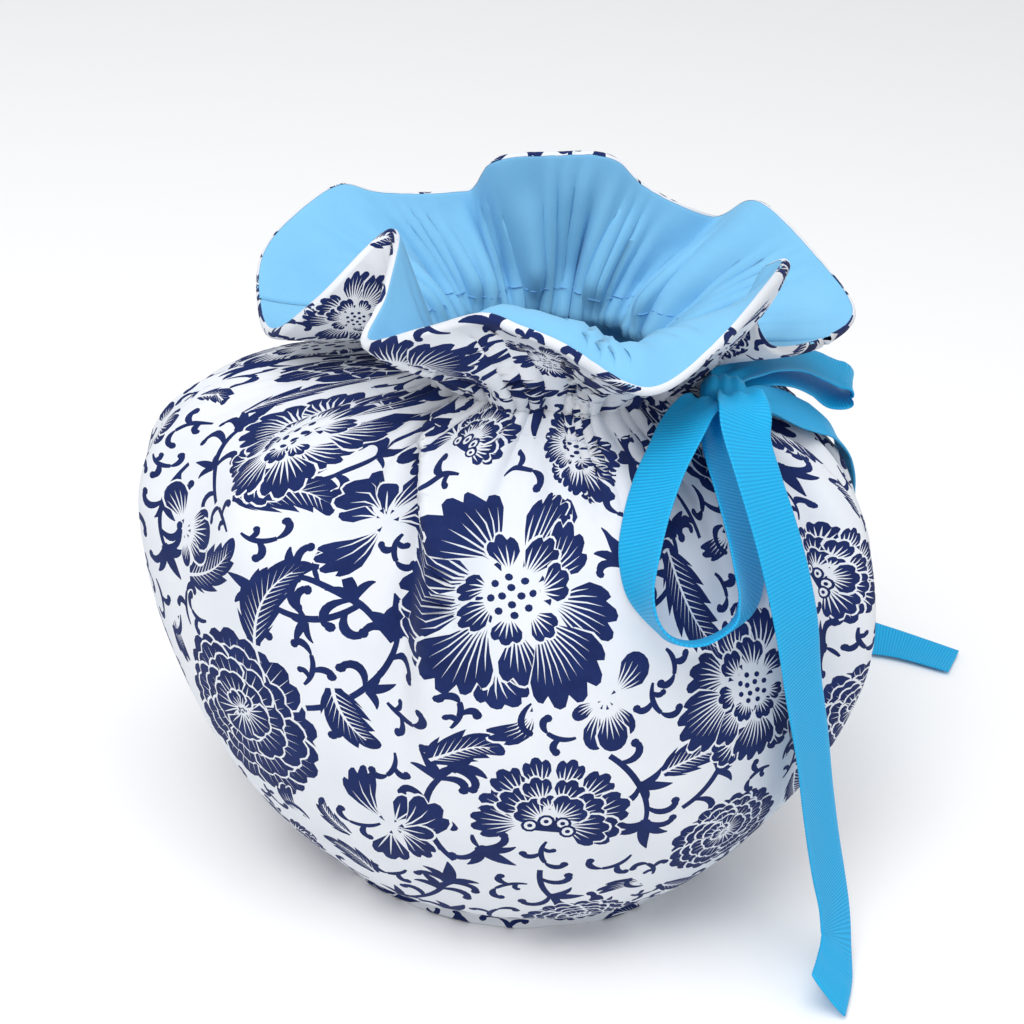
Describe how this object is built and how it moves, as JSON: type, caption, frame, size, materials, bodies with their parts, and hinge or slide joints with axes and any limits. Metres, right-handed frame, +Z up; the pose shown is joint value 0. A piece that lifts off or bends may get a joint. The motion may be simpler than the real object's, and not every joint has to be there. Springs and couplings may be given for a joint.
{
  "type": "drawstring tea cosy",
  "caption": "Lined cotton tea cosy: two printed panels drawn in to a ruffled neck, with slits for spout and handle and a ribbon tied in a bow.",
  "frame": {"origin": "middle of the whole part's box in plan, bow and tails included, on the surface that the hem rests on", "axes": "+Z up through the neck, -Y towards the front panel, -X towards the spout's slit, +X towards the handle's slit"},
  "size_m": [0.245, 0.2092, 0.1836],
  "materials": {
    "printed_cotton": "matte woven",
    "plain_cotton": "matte woven",
    "woven_ribbon": "ribbed satin"
  },
  "bodies": {
    "root": {"panel_front": "printed_cotton", "panel_back": "printed_cotton", "lining_front": "plain_cotton", "lining_back": "plain_cotton", "tail_front": "woven_ribbon", "loop_front": "woven_ribbon", "tail_back": "woven_ribbon", "loop_back": "woven_ribbon", "ribbon_knot": "woven_ribbon"}
  },
  "joints": []
}
